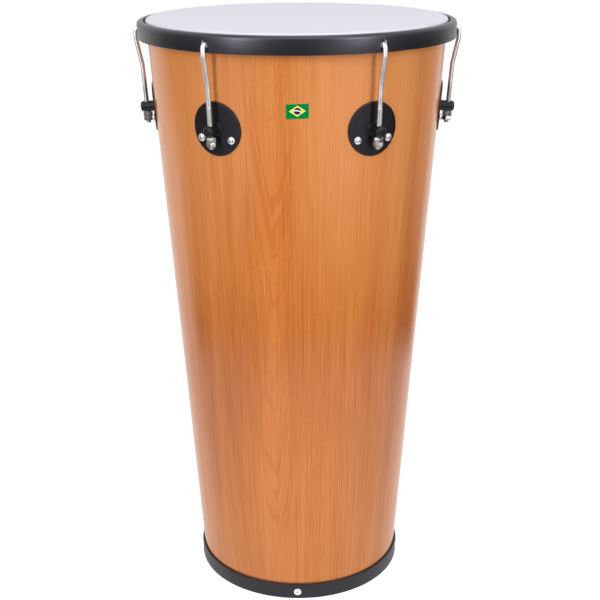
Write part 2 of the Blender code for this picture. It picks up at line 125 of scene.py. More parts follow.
def shell_radius(z):
    """Radius of the shell's outer face at a height."""
    return SHELL_FOOT_RADIUS + TAPER * (z - FOOT_Z)


def lug_azimuth(index):
    """Azimuth from the front towards +X. The first lug is the front left one."""
    return (index - 0.5) * 2 * math.pi / LUG_COUNT


# Where the lug screws sit: their height, and their azimuth from the lug's
SCREW_HEIGHT = LUG_HEIGHT - SCREW_DROP * math.cos(WALL_ANGLE)
SCREW_TURN = SCREW_SPREAD / shell_radius(SCREW_HEIGHT)


# Node trees


def math_method(operation, reflected=False):
    """A method of Term that adds the Math node of this operation."""
    def method(self, *others):
        terms = (*others, self) if reflected else (self, *others)
        made = self.flow.node("ShaderNodeMath", {"operation": operation}, dict(enumerate(terms)))
        return Term(self.flow, made.outputs[0])
    return method


class Term:
    """A number in a node tree. Sums written with it become Math nodes."""

    def __init__(self, flow, socket):
        self.flow = flow
        self.socket = socket

    __add__, __radd__ = math_method("ADD"), math_method("ADD", reflected=True)
    __sub__, __rsub__ = math_method("SUBTRACT"), math_method("SUBTRACT", reflected=True)
    __mul__, __rmul__ = math_method("MULTIPLY"), math_method("MULTIPLY", reflected=True)
    __truediv__, __rtruediv__ = math_method("DIVIDE"), math_method("DIVIDE", reflected=True)
    __pow__ = math_method("POWER")
    __abs__ = math_method("ABSOLUTE")
    sine = math_method("SINE")
    cosine = math_method("COSINE")
    arctan2 = math_method("ARCTAN2")
    floor = math_method("FLOOR")
    nearest = math_method("ROUND")
    fraction = math_method("FRACT")
    at_least = math_method("MAXIMUM")
    at_most = math_method("MINIMUM")

    def clamped(self):
        return self.at_least(0.0).at_most(1.0)

    def step(self, start, end):
        """0 before start, 1 after end, and a soft rise between them."""
        made = self.flow.node("ShaderNodeMapRange", {"interpolation_type": "SMOOTHSTEP"},
                              {"Value": self, "From Min": start, "From Max": end})
        return Term(self.flow, made.outputs["Result"])

    def hump(self, centre, width):
        """1 at the centre, falling softly to 0 at that distance from it."""
        return 1.0 - abs(self - centre).step(0.0, width)


class Flow:
    """A node tree being written: one method adds any node, others name common ones."""

    def __init__(self, tree):
        self.tree = tree

    def node(self, kind, settings=None, inputs=None):
        made = self.tree.nodes.new(kind)
        for name, value in (settings or {}).items():
            if name == "stops":
                self.set_stops(made.color_ramp, value)
            else:
                setattr(made, name, value)
        for key, value in (inputs or {}).items():
            self.feed(self.find(made, key), value)
        return made

    def find(self, made, key):
        if isinstance(key, int):
            return made.inputs[key]
        return next(s for s in made.inputs if s.name == key and s.enabled)

    def feed(self, socket, value):
        if isinstance(value, Term):
            value = value.socket
        if isinstance(value, bpy.types.NodeSocket):
            self.tree.links.new(value, socket)
        else:
            socket.default_value = value

    def set_stops(self, ramp, stops):
        while len(ramp.elements) < len(stops):
            ramp.elements.new(1.0)
        for element, (place, color) in zip(ramp.elements, stops):
            element.position = place
            element.color = (*color, 1.0)

    def term(self, socket):
        return Term(self, socket)

    def split(self, vector):
        made = self.node("ShaderNodeSeparateXYZ", {}, {0: vector})
        return [Term(self, socket) for socket in made.outputs]

    def joined(self, x, y, z):
        return self.node("ShaderNodeCombineXYZ", {}, {0: x, 1: y, 2: z}).outputs[0]

    def grow(self, kind, inputs=None, **settings):
        """First output of a geometry node of that kind."""
        return Term(self, self.node("GeometryNode" + kind, settings, inputs).outputs[0])

    def vector(self, operation, inputs):
        return self.node("ShaderNodeVectorMath", {"operation": operation}, inputs).outputs[0]

    def noise(self, vector, scale, detail=2.0, roughness=0.5):
        made = self.node("ShaderNodeTexNoise", {}, {
            "Vector": vector, "Scale": scale, "Detail": detail, "Roughness": roughness})
        return Term(self, made.outputs[0])

    def stretched(self, x, y, z, detail=2.0, roughness=0.5):
        """Noise with each axis scaled by itself. A plain number there picks a slice of the noise."""
        return self.noise(self.joined(x, y, z), 1.0, detail, roughness)

    def ramp(self, value, stops):
        return self.node("ShaderNodeValToRGB", {"stops": stops}, {0: value}).outputs[0]

    def mix(self, share, first, second):
        made = self.node("ShaderNodeMix", {"data_type": "RGBA"}, {0: share, "A": first, "B": second})
        return next(s for s in made.outputs if s.enabled)

    def bump(self, height, depth, strength):
        made = self.node("ShaderNodeBump", {}, {"Height": height, "Distance": depth, "Strength": strength})
        return made.outputs[0]


def rgb(red, green, blue):
    return (red, green, blue, 1.0)


class Finish(Flow):
    """A material's node tree, with the constants of its Principled shader."""

    def __init__(self, name, **constants):
        self.material = bpy.data.materials.new(name)
        self.material.use_nodes = True
        super().__init__(self.material.node_tree)
        self.shade(**constants)

    def shade(self, **values):
        """Set the shader's sockets to constants, or link them to what varies. Returns the material."""
        shader = self.tree.nodes["Principled BSDF"]
        for label, value in values.items():
            self.feed(shader.inputs[label.replace("_", " ")], value)
        return self.material

    def place(self):
        return self.node("ShaderNodeTexCoord").outputs["Object"]


def azimuth_term(x, y):
    """Azimuth about the drum's axis: 0 at the front, and positive towards +X."""
    return x.arctan2(-1.0 * y)


def hypotenuse(a, b):
    return (a * a + b * b) ** 0.5


# Finishes


def nested_figure(flow, across, shifted, along, sway, ripple):
    """Fine nested lines left of the front, and the strip of heartwood that they fill.

    The lines open upwards: the right arms spread more above, the left arms below.
    """
    beside = shifted + FIGURE_LEFT
    low = 1.0 - along.step(0.30, 0.42)
    right = beside.at_least(0.0)
    left = (-1.0 * beside).at_least(0.0)
    above = right + right ** 3.0 * 2700.0 + left * 7.0
    below = left + left ** 3.0 * 2700.0 + right * 7.0
    depth = above + (below - above) * low - along + sway * 0.10 + ripple * 0.030
    late = flow.stretched(depth * 46.0, across * 6.0, 2.5, roughness=0.6).step(0.50, 0.60)
    heart = 1.0 - abs(beside - 0.004).step(0.012, 0.032)
    patchy = flow.stretched(across * 14.0, along * 5.0, 6.0).step(0.28, 0.60)
    return late * heart * (0.25 + 0.75 * patchy) * along.step(0.07, 0.15), heart


def make_veneer():
    """Orange-brown veneer under gloss lacquer: straight fibres and a faint nested figure."""
    flow = Finish("veneer under lacquer", Coat_Weight=0.78, Coat_IOR=1.5, Coat_Roughness=0.14,
                  Specular_IOR_Level=0.0)
    x, y, along = flow.split(flow.place())
    turn = azimuth_term(x, y)
    across = turn * VENEER_RADIUS
    sway = flow.stretched(across * 9.0, along * 2.2, 0.0) - 0.5
    ripple = flow.stretched(across * 70.0, along * 9.0, 3.0) - 0.5
    shifted = across + sway * 0.016 + ripple * 0.0016
    figure, heart = nested_figure(flow, across, shifted, along, sway, ripple)

    # Grain up the taper, from wide to narrow, then its pores and the sheen across it
    broad = flow.stretched(shifted * 30.0, along * 0.9, 5.0, detail=3.0, roughness=0.55)
    streaks = flow.stretched(shifted * 420.0, along * 4.5, 9.0, detail=4.0, roughness=0.68)
    fine = flow.stretched(shifted * 1050.0, along * 13.0, 2.0, roughness=0.6)
    pores = flow.stretched(shifted * 1500.0, along * 60.0, 7.0, detail=1.0).step(0.64, 0.80)
    sheen = flow.stretched(shifted * 45.0, along * 330.0, 4.0, roughness=0.6)

    # Darker and paler runs of the sheet by azimuth, one stronger higher up; and darker low on the sides and
    # round the middle height
    dark_right = turn.hump(0.94, 0.14) * (0.45 + 0.40 * along.step(0.34, 0.52))
    dark_back = turn.hump(2.2, 0.13) * 0.5
    pale_right = turn.hump(0.78, 0.12) * 0.35
    band = dark_right + dark_back - pale_right
    low_side = abs(turn).hump(0.78, 0.55) * along.step(0.06, 0.20) * (1.0 - along.step(0.22, 0.58))
    waist = along.hump(0.32, 0.16)
    tone = 0.50 + (broad - 0.5) * 0.52 + (streaks - 0.5) * 0.56 + (fine - 0.5) * 0.60
    tone = tone - figure * 0.12 - band * 0.25 - low_side * 0.14 + (sheen - 0.5) * 0.08 - pores * 0.06
    color = flow.ramp(tone - waist * 0.11, [
        (0.00, (0.300, 0.070, 0.010)),
        (0.28, (0.480, 0.130, 0.022)),
        (0.50, (0.610, 0.198, 0.042)),
        (0.72, (0.690, 0.260, 0.068)),
        (1.00, (0.760, 0.350, 0.120)),
    ])
    sapwood = 1.0 - heart * (1.0 - along.step(0.50, 0.68) * 0.45)
    sapwood = sapwood * (0.12 + 0.88 * along.step(0.34, 0.66)) * (0.75 + (broad - 0.5))
    color = flow.mix((sapwood * 0.42).clamped(), color, rgb(0.740, 0.330, 0.135))
    rosy = flow.stretched(across * 12.0, along * 3.0, 8.0).step(0.45, 0.75) * 0.18
    color = flow.mix((rosy + figure * 0.44).clamped(), color, rgb(0.600, 0.160, 0.030))

    # The sheet's joint at the back, and painted shade along the foot ring and under the hoop
    joint = 1.0 - (math.pi - abs(turn)).step(0.0005, 0.0035)
    color = flow.mix(joint * 0.6, color, rgb(0.16, 0.06, 0.02))
    # Painted shade: the wood is darkened in a thin band just above the foot ring, and from just below the
    # hoop's foot upwards
    painted_shade = 1.0 - along.step(RING_SHADE_Z, RING_SHADE_Z + SHADE_WIDTH)
    painted_shade = painted_shade.at_least((along - SEAT_SHADE_Z).step(0.0, SHADE_WIDTH))
    color = flow.mix(painted_shade * 0.72, color, rgb(0.10, 0.035, 0.012))
    relief = (streaks - 0.5) * 0.6 + (fine - 0.5) * 0.4 - pores * 0.6 - figure * 0.25
    return flow.shade(Base_Color=color, Roughness=0.40 + (streaks - 0.5) * 0.12 + pores * 0.1,
                      Normal=flow.bump(relief, 0.00006, 0.35))


def make_bare_ply():
    """The unlacquered inside of the shell and its sanded bearing edge."""
    flow = Finish("bare inner ply")
    x, y, along = flow.split(flow.place())
    across = azimuth_term(x, y) * PLY_RADIUS
    broad = flow.stretched(across * 30.0, along * 2.0, 1.0, detail=3.0, roughness=0.6)
    fibre = flow.stretched(across * 700.0, along * 12.0, 6.0, detail=3.0, roughness=0.65)
    tone = 0.5 + (broad - 0.5) * 0.7 + (fibre - 0.5) * 0.8
    color = flow.ramp(tone, [
        (0.0, (0.36, 0.20, 0.10)),
        (0.5, (0.55, 0.36, 0.20)),
        (1.0, (0.70, 0.51, 0.32)),
    ])
    return flow.shade(Base_Color=color, Roughness=0.68 + (fibre - 0.5) * 0.2,
                      Normal=flow.bump(fibre, 0.0001, 0.5))


def make_black_paint(name, shade, roughness, grain, gloss=0.40, drawn=0.0):
    """Satin black paint on steel, with a faint orange peel and the drawing lines of rolled steel."""
    flow = Finish(name, Specular_IOR_Level=gloss, Specular_Tint=rgb(0.90, 0.87, 1.0))
    place = flow.place()
    x, y, z = flow.split(place)
    lines = flow.stretched(x * 9.0, y * 9.0, z * 520.0, detail=3.0, roughness=0.6) - 0.5
    peel = flow.noise(place, grain)
    cloud = flow.noise(place, 38.0, detail=3.0, roughness=0.6)
    speck = flow.noise(place, 2600.0, detail=1.0).step(0.70, 0.80)
    tone = cloud * 0.35 + peel * 0.25 + speck * 0.5 + lines * drawn
    dark = rgb(*(shade * value for value in (0.75, 0.75, 0.85)))
    light = rgb(*(shade * value for value in (1.35, 1.35, 1.55)))
    return flow.shade(Base_Color=flow.mix(tone.clamped(), dark, light),
                      Roughness=roughness + (cloud - 0.5) * 0.12 + (peel - 0.5) * 0.06,
                      Normal=flow.bump(peel + lines * drawn * 2.0, 0.00005, 0.45))


def make_film_finish():
    """Smooth white drum film with a faint lavender tint, and painted shade that makes it a little darker over
    its rim.
    """
    flow = Finish("white head film")
    place = flow.place()
    x, y = flow.split(place)[:2]
    # Painted shade: the film is darkened where it bends over the bearing edge
    rim = hypotenuse(x, y).step(0.1720, 0.1745)
    cloud = flow.noise(place, 14.0, detail=3.0, roughness=0.6)
    coat = flow.noise(place, 2400.0, roughness=0.6)
    tone = 0.5 + (cloud - 0.5) * 0.5 + (coat - 0.5) * 0.2
    color = flow.mix(tone.clamped(), rgb(0.800, 0.776, 0.895), rgb(0.855, 0.833, 0.940))
    return flow.shade(Base_Color=flow.mix(rim * 0.5, color, rgb(0.70, 0.685, 0.77)),
                      Roughness=0.38 + (cloud - 0.5) * 0.08 + (coat - 0.5) * 0.06,
                      Normal=flow.bump(coat, 0.00002, 0.25))


def make_metal(name, shade, roughness, brushed, wear=0.1, relief=0.4):
    """Bare or plated metal with fine marks and a slightly cloudy gloss."""
    flow = Finish(name, Metallic=1.0)
    place = flow.place()
    x, y, z = flow.split(place)
    marks = flow.stretched(x * brushed, y * brushed, z * brushed * 0.12, detail=3.0, roughness=0.6)
    cloud = flow.noise(place, 120.0, detail=3.0, roughness=0.6)
    dull = rgb(*(value * 0.62 for value in shade))
    tone = (0.62 + (cloud - 0.5) * 0.9 + (marks - 0.5) * 0.7).clamped()
    return flow.shade(Base_Color=flow.mix(tone, dull, rgb(*shade)),
                      Roughness=roughness + (cloud - 0.5) * wear + (marks - 0.5) * wear,
                      Normal=flow.bump(marks, 0.00002, relief))


def make_decal_print():
    """Printed flag: green field, yellow lozenge, blue disc with a white band."""
    flow = Finish("flag print", Specular_IOR_Level=0.0)
    u, v = flow.split(flow.node("ShaderNodeTexCoord").outputs["UV"])[:2]
    right = (u - 0.5) * 1.5
    up = v - 0.52
    ink = flow.noise(flow.place(), 1500.0) - 0.5
    edge = abs(right) / 0.55 + abs(up) / 0.375
    lozenge = 1.0 - edge.step(0.98, 1.02)
    border = lozenge * edge.step(0.74, 0.92)
    disc = 1.0 - hypotenuse(right, up).step(0.222, 0.236)
    bow = hypotenuse(right + 0.10, up + 0.50)
    band = bow.step(0.495, 0.510) * (1.0 - bow.step(0.575, 0.590)) * disc
    color = flow.mix(lozenge, rgb(0.000, 0.235, 0.050), rgb(0.86, 0.72, 0.025))
    color = flow.mix(border * 0.55, color, rgb(0.90, 0.90, 0.45))
    color = flow.mix(disc, color, rgb(0.016, 0.016, 0.120))
    color = flow.mix(band, color, rgb(0.78, 0.78, 0.92))
    color = flow.mix((ink * 0.4 + 0.08).clamped(), color, rgb(0.0, 0.0, 0.0))
    return flow.shade(Base_Color=color, Roughness=0.35 + ink * 0.1)


# Shapes grown by geometry trees


def new_tree(name, whole, real):
    """An empty geometry tree. Returns its flow and its inputs: a shape, the numbers and the finish."""
    tree = bpy.data.node_groups.new(name, "GeometryNodeTree")
    kinds = {"Geometry": "Geometry", **dict.fromkeys(whole, "Int"), **dict.fromkeys(real, "Float"),
             "Finish": "Material"}
    for label, kind in kinds.items():
        tree.interface.new_socket(label, in_out="INPUT", socket_type="NodeSocket" + kind)
    tree.interface.new_socket("Geometry", in_out="OUTPUT", socket_type="NodeSocketGeometry")
    flow = Flow(tree)
    given = flow.node("NodeGroupInput").outputs
    return flow, *[Term(flow, given[label]) for label in kinds]


def close_tree(flow, geometry, finish):
    """End the tree in Realize Instances and Set Material."""
    plain = flow.grow("RealizeInstances", {"Geometry": geometry})
    painted = flow.grow("SetMaterial", {"Geometry": plain, "Material": finish})
    flow.node("NodeGroupOutput", {}, {"Geometry": painted})
    return flow.tree


def rotation(flow, x, y, z):
    return flow.node("FunctionNodeEulerToRotation", {}, {0: flow.joined(x, y, z)}).outputs[0]


def make_turning_tree():
    """Turns a chain of profile points (radius, 0, height) about Z. It runs down its outer side."""
    flow, profile, sides, finish = new_tree("turned piece", ["Sides"], [])
    count = flow.grow("AttributeDomainSize", {"Geometry": profile}, component="MESH")
    grid = flow.grow("MeshGrid", {
        "Size X": 1.0, "Size Y": 1.0, "Vertices X": count, "Vertices Y": sides + 1.0})
    along, about = flow.split(flow.grow("InputPosition"))[:2]
    row = ((along + 0.5) * (count - 1.0)).nearest()
    angle = (about + 0.5) * (2 * math.pi)
    sample = flow.grow("SampleIndex", {
        "Geometry": profile, "Value": flow.grow("InputPosition"), "Index": row}, data_type="FLOAT_VECTOR")
    radius, height = flow.split(sample)[::2]
    place = flow.joined(radius * angle.cosine(), radius * angle.sine(), height)
    turned = flow.grow("SetPosition", {"Geometry": grid, "Position": place})
    closed = flow.grow("MergeByDistance", {"Geometry": turned, "Distance": 0.000002})
    return close_tree(flow, closed, finish)


def make_places_tree():
    """Puts copies of a piece at places round the drum, each turned to face out of the wall."""
    tree = new_tree("places round the drum", ["Places", "Copies", "Seed"], [
        "First Azimuth", "Step", "Spread", "Radius", "Height", "Tilt", "Stack Step", "Slope", "Spin"])
    flow, piece, places, copies, seed, first, step, spread, out, up, tilt, stack, slope, spin, finish = tree
    index = flow.grow("InputIndex")
    place = (index / copies + 0.001).floor()
    copy = index - place * copies
    azimuth = first + place * step + (copy - (copies - 1.0) * 0.5) * spread
    down = copy * stack
    radius = out - slope.sine() * down
    height = up - slope.cosine() * down
    spot = flow.joined(radius * azimuth.sine(), radius * azimuth.cosine() * -1.0, height)
    points = flow.grow("Points", {"Count": places * copies, "Position": spot})
    set_out = flow.grow("InstanceOnPoints", {
        "Points": points, "Instance": piece, "Rotation": rotation(flow, tilt, 0.0, azimuth)})
    chance = flow.node("FunctionNodeRandomValue", {"data_type": "FLOAT"}, {
        "Min": -1.0, "Max": 1.0, "Seed": seed})
    chance = flow.term(next(s for s in chance.outputs if s.enabled))
    spun = flow.grow("RotateInstances", {
        "Instances": set_out, "Rotation": rotation(flow, 0.0, 0.0, chance * spin), "Local Space": True})
    return close_tree(flow, spun, finish)


def make_rod_tree():
    """Sweeps a round rod along a chain of points and cuts a thread into its lower part."""
    tree = new_tree("threaded rod", ["Sides"], [
        "Rod Radius", "Thread Radius", "Thread Depth", "Thread Pitch", "Thread Length", "End Chamfer",
        "Rod Length"])
    flow, line, sides, rod, thread, depth, pitch, thread_length, bevel, length, finish = tree

    def stored(geometry, kind, name, value):
        return flow.grow("StoreNamedAttribute", {"Geometry": geometry, "Name": name, "Value": value},
                         data_type=kind, domain="POINT")

    def named(kind, name):
        made = flow.node("GeometryNodeInputNamedAttribute", {"data_type": kind}, {"Name": name})
        return flow.term(next(s for s in made.outputs if s.enabled and s.name == "Attribute"))

    path = flow.grow("MeshToCurve", {0: stored(line, "FLOAT_VECTOR", "centre", flow.grow("InputPosition"))})
    circle = flow.grow("CurvePrimitiveCircle", {"Resolution": sides, "Radius": rod}, mode="RADIUS")
    ring = stored(circle, "FLOAT", "round", flow.grow("SplineParameter"))
    swept = flow.grow("CurveToMesh", {"Curve": path, "Profile Curve": ring, "Fill Caps": True})
    from_end = named("FLOAT", "from_end")
    centre = named("FLOAT_VECTOR", "centre")
    wave = abs((from_end / pitch + named("FLOAT", "round")).fraction() - 0.5) * 2.0
    threaded = ((thread_length - from_end) / pitch).clamped()
    radius = rod + threaded * (thread - depth * (1.0 - wave) - rod)
    chamfer = (1.0 - from_end / bevel).clamped() + (1.0 - (length - from_end) / bevel).clamped()
    spoke = flow.vector("NORMALIZE", {0: flow.vector("SUBTRACT", {0: flow.grow("InputPosition"), 1: centre})})
    spoke = flow.vector("SCALE", {0: spoke, "Scale": radius - chamfer * bevel})
    place = flow.vector("ADD", {0: centre, 1: spoke})
    shaped = flow.grow("SetPosition", {"Geometry": swept, "Position": place})
    return close_tree(flow, shaped, finish)


def linked(name, data):
    obj = bpy.data.objects.new(name, data)
    bpy.context.scene.collection.objects.link(obj)
    return obj


def plain(obj):
    """The evaluated shape as a plain mesh. The object is removed."""
    bpy.context.view_layer.update()
    evaluated = obj.evaluated_get(bpy.context.evaluated_depsgraph_get())
    mesh = bpy.data.meshes.new_from_object(evaluated)
    bpy.data.objects.remove(obj)
    return mesh


def grown(name, data, tree, sizes):
    """The mesh that a tree grows from the data with these sizes."""
    obj = linked(name, data)
    modifier = obj.modifiers.new(tree.name, "NODES")
    modifier.node_group = tree
    for item in tree.interface.items_tree:
        if item.item_type == "SOCKET" and item.in_out == "INPUT" and item.name in sizes:
            modifier[item.identifier] = sizes[item.name]
    mesh = plain(obj)
    mesh.name = name
    return mesh


def placed(name, mesh, finish, sizes):
    """The mesh repeated round the drum, by default at each lug's place and facing out of the wall."""
    usual = {
        "Places": LUG_COUNT, "First Azimuth": lug_azimuth(0), "Step": 2 * math.pi / LUG_COUNT, "Copies": 1,
        "Spread": 0.0, "Tilt": math.pi / 2 + WALL_ANGLE, "Stack Step": 0.0, "Slope": WALL_ANGLE, "Spin": 0.0}
    return grown(name, mesh, places_tree, {**usual, **sizes, "Finish": finish})


def meshed(name, bm):
    """The bmesh as a new mesh."""
    mesh = bpy.data.meshes.new(name)
    bm.to_mesh(mesh)
    bm.free()
    return mesh


def between(start, end, steps):
    """Evenly spaced values from after the start to the end."""
    return [start + (end - start) * i / steps for i in range(1, steps + 1)]


def dome(inner, outer, foot, rise, steps):
    """Points over a dome between two radii, without its top and its foot."""
    angles = between(0.0, math.pi / 2, steps)[:-1]
    return [(inner + (outer - inner) * math.sin(angle), foot + rise * math.cos(angle)) for angle in angles]


def chain(name, points):
    """A mesh that is just a chain of points."""
    mesh = bpy.data.meshes.new(name)
    mesh.from_pydata(points, [(i, i + 1) for i in range(len(points) - 1)], [])
    return mesh


def arc(centre, radius, start, end, steps):
    """Points on an arc from one angle to another, in degrees."""
    angles = [math.radians(angle) for angle in (start, *between(start, end, steps))]
    return [(centre[0] + radius * math.cos(angle), centre[1] + radius * math.sin(angle)) for angle in angles]


def turned(name, profile, finish, sides):
    """The piece that a profile of radii and heights makes about Z, closed unless it starts on Z."""
    points = [(radius, 0.0, height) for radius, height in profile]
    if profile[0][0] > 0:
        points.append(points[0])
    return grown(name, chain(name, points), turning_tree, {"Sides": sides, "Finish": finish})


def cut_from(mesh, cutter, operation="DIFFERENCE"):
    """The mesh after a Boolean with the cutter mesh."""
    obj = linked("cut", mesh)
    tool = linked("cutter", cutter)
    modifier = obj.modifiers.new("Cut", "BOOLEAN")
    modifier.operation = operation
    modifier.object = tool
    result = plain(obj)
    bpy.data.objects.remove(tool)
    result.name = mesh.name
    return result


def rounded(mesh, width):
    """The mesh with its sharp edges rounded."""
    obj = linked("rounded", mesh)
    modifier = obj.modifiers.new("Round", "BEVEL")
    modifier.width = width
    modifier.segments = 2
    modifier.limit_method = "ANGLE"
    modifier.angle_limit = math.radians(40)
    result = plain(obj)
    result.name = mesh.name
    return result


def cylinders(frames, radius, low, high, sides):
    """One mesh of straight cylinders along Z of each frame."""
    bm = bmesh.new()
    for place in frames:
        middle = place @ Matrix.Translation((0, 0, (low + high) / 2))
        bmesh.ops.create_cone(bm, cap_ends=True, segments=sides, radius1=radius, radius2=radius,
                              depth=high - low, matrix=middle)
    return meshed("cylinders", bm)


def drilled(mesh, frames, radius, low, high, sides):
    """The mesh with a round hole along Z of each frame."""
    return cut_from(mesh, cylinders(frames, radius, low, high, sides))


def outward_frame(azimuth, radius, height, tilt=0.0):
    """Frame at a radius and height with its Z pointing outwards, level or tilted up."""
    stand = Matrix.Translation((0, -radius, height))
    return Matrix.Rotation(azimuth, 4, "Z") @ stand @ Matrix.Rotation(math.pi / 2 + tilt, 4, "X")


def wall_frame(azimuth, height):
    """Frame on the shell's outer face: X to the right, Y up the wall, Z out of it."""
    return outward_frame(azimuth, shell_radius(height), height, WALL_ANGLE)


def rivet_frames():
    """Frames on the foot ring's outer face, one at each rivet."""
    azimuths = [i * 2 * math.pi / RIVET_COUNT for i in range(RIVET_COUNT)]
    return [outward_frame(azimuth, RING_RADIUS, RIVET_HEIGHT) for azimuth in azimuths]


def numbered(stem, count):
    return [f"{stem}_{n}" for n in range(1, count + 1)]


def paired(stem):
    """Names of the left and right one at each lug."""
    return [f"{name}_{side}" for name in numbered(stem, LUG_COUNT) for side in ("left", "right")]


def piece(name, mesh, body, slot, *nodes, angle=35):
    """A finished piece at the origin that rides on a body and stands for CAD nodes."""
    mesh.name = name
    mesh.shade_smooth()
    mesh.set_sharp_from_angle(angle=math.radians(angle))
    obj = linked(name, mesh)
    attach(obj, body)
    if nodes:
        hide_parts(*nodes)


# Pieces


def make_shell():
    """The wall as one turned piece, with its bearing edge and the screws' and rivets' holes."""
    flat_end = SEAT_RADIUS - EDGE_ROUND - EDGE_FLAT
    inner_top = SHELL_TOP_RADIUS - SHELL_WALL
    chamfer = (flat_end - inner_top) / (1 - TAPER)
    seat_foot = EDGE_Z - SEAT_RELIEF / TAPER
    edge = 0.0005
    foot = FOOT_Z + edge
    profile = [(flat_end, EDGE_Z), *arc(EDGE_CENTRE, EDGE_ROUND, 90, 0, 8), (SEAT_RADIUS, seat_foot)]
    profile += [(shell_radius(height), height) for height in between(seat_foot, foot, 24)]
    profile += [(SHELL_FOOT_RADIUS - edge, FOOT_Z), (SHELL_FOOT_RADIUS - SHELL_WALL + edge, FOOT_Z),
                (SHELL_FOOT_RADIUS - SHELL_WALL, foot)]
    inner_heights = between(foot, EDGE_Z - chamfer, 12)
    profile += [(shell_radius(height) - SHELL_WALL, height) for height in inner_heights]
    mesh = turned("shell_veneer", profile, veneer, sides=288)
    screws = [wall_frame(lug_azimuth(index) + side * SCREW_TURN, SCREW_HEIGHT)
              for index in range(LUG_COUNT) for side in (-1, 1)]
    mesh = drilled(mesh, screws, SCREW_RADIUS + FIT, -2 * SHELL_WALL, SHELL_WALL, 24)
    mesh = drilled(mesh, rivet_frames(), RIVET_RADIUS + FIT, -3 * SHELL_WALL, SHELL_WALL, 24)
    mesh.materials.clear()
    mesh.materials.append(veneer)
    mesh.materials.append(bare_ply)
    for polygon in mesh.polygons:
        middle = polygon.center
        outside = math.hypot(middle.x, middle.y) > shell_radius(middle.z) - SHELL_WALL / 4
        upright = FOOT_Z + edge / 2 < middle.z < seat_foot
        polygon.material_index = 0 if outside and upright else 1
    piece("shell_veneer", mesh, "shell", "shell_wood", "shell")


def make_ring():
    """Shallow steel ring round the shell's lower end, folded in under it."""
    inner = RING_RADIUS - RING_WALL
    floor_edge = SHELL_FOOT_RADIUS - SHELL_WALL
    burr, edge, seam = 0.0003, 0.0005, 0.0008
    rim, fold = 0.0009, 0.0015
    profile = [(inner + burr, RING_HEIGHT)]
    profile += arc((RING_RADIUS - rim, RING_HEIGHT - rim), rim, 90, 0, 5)
    profile += arc((RING_RADIUS - fold, fold), fold, 0, -90, 6)
    profile += [(floor_edge + edge, 0.0), (floor_edge, edge), (floor_edge, RING_FLOOR - edge),
                (floor_edge + edge, RING_FLOOR), (inner - seam, RING_FLOOR), (inner, RING_FLOOR + seam),
                (inner, RING_HEIGHT - burr)]
    mesh = turned("foot_ring", profile, ring_paint, sides=240)
    mesh = drilled(mesh, rivet_frames(), RIVET_RADIUS + FIT, -2 * RING_WALL, RING_WALL, 24)
    piece("foot_ring", mesh, "shell", "ring_paint", "bottom_ring")


def make_film():
    """The head: a flat film that bends over the bearing edge into a short collar."""
    inner_round = EDGE_ROUND + FIT
    collar_drop = 0.004
    collar_foot = FLESH_FOOT_Z - collar_drop - FIT
    profile = [(0.0, FILM_Z)]
    profile += [(radius, FILM_Z) for radius in between(0.0, EDGE_CENTRE[0], 13)[:-1]]
    profile += arc(EDGE_CENTRE, inner_round + FILM, 90, 0, 10)
    profile += [(COLLAR_RADIUS, collar_foot), (COLLAR_RADIUS - FILM, collar_foot)]
    profile += arc(EDGE_CENTRE, inner_round, 0, 90, 10)
    profile.append((0.0, FILM_Z - FILM))
    mesh = turned("head", profile, film_finish, sides=256)
    piece("head", mesh, "shell", "head_film", "head_film")


def make_flesh_hoop():
    """The ring inside the tuning hoop, with a round shoulder."""
    bend, edge = 0.0018, 0.0004
    profile = [(FLESH_INNER_RADIUS + edge, FLESH_TOP_Z)]
    profile += arc((FLESH_OUTER_RADIUS - bend, FLESH_TOP_Z - bend), bend, 90, 0, 6)
    profile += [(FLESH_OUTER_RADIUS, FLESH_FOOT_Z + edge), (FLESH_OUTER_RADIUS - edge, FLESH_FOOT_Z),
                (FLESH_INNER_RADIUS + edge, FLESH_FOOT_Z), (FLESH_INNER_RADIUS, FLESH_FOOT_Z + edge),
                (FLESH_INNER_RADIUS, FLESH_TOP_Z - edge)]
    mesh = turned("flesh_ring", profile, flesh_metal, sides=240)
    piece("flesh_ring", mesh, "hoop", "flesh_hoop_metal", "flesh_hoop")


def hook_hole_height():
    """Height of the hole whose lower edge the hook's arch hangs on."""
    play = 0.0004
    under_arch = ARCH_RADIUS - ROD_RADIUS
    reach = ARCH_MID_RADIUS - HOOP_INNER_RADIUS
    return ARCH_MID_Z + math.sqrt(under_arch ** 2 - reach ** 2) - play + HOOK_HOLE_RADIUS


def make_hoop():
    """The steel tuning hoop: a round shoulder, a lip over the flesh hoop, and a hole for each hook."""
    bend = (HOOP_RADIUS - HOOP_ROUND, HOOP_TOP_Z - HOOP_ROUND)
    edge = 0.0006
    profile = [(HOOP_LIP_RADIUS + edge, HOOP_TOP_Z)]
    profile += arc(bend, HOOP_ROUND, 90, 0, 14)
    profile += arc((HOOP_RADIUS - edge, HOOP_FOOT_Z + edge), edge, 0, -90, 3)
    profile += arc((HOOP_INNER_RADIUS + edge, HOOP_FOOT_Z + edge), edge, -90, -180, 3)
    profile += arc(bend, HOOP_ROUND - HOOP_WALL, 0, 90, 6)
    profile += [(HOOP_LIP_RADIUS + edge, HOOP_TOP_Z - HOOP_WALL),
                (HOOP_LIP_RADIUS, HOOP_TOP_Z - HOOP_WALL + edge), (HOOP_LIP_RADIUS, HOOP_TOP_Z - edge)]
    mesh = turned("steel_hoop", profile, hoop_paint, sides=288)
    holes = [outward_frame(lug_azimuth(index), HOOP_RADIUS, hook_hole_height()) for index in range(LUG_COUNT)]
    mesh = drilled(mesh, holes, HOOK_HOLE_RADIUS, -2 * HOOP_WALL, HOOP_WALL, 40)
    piece("steel_hoop", mesh, "hoop", "hoop_paint", "tuning_hoop")


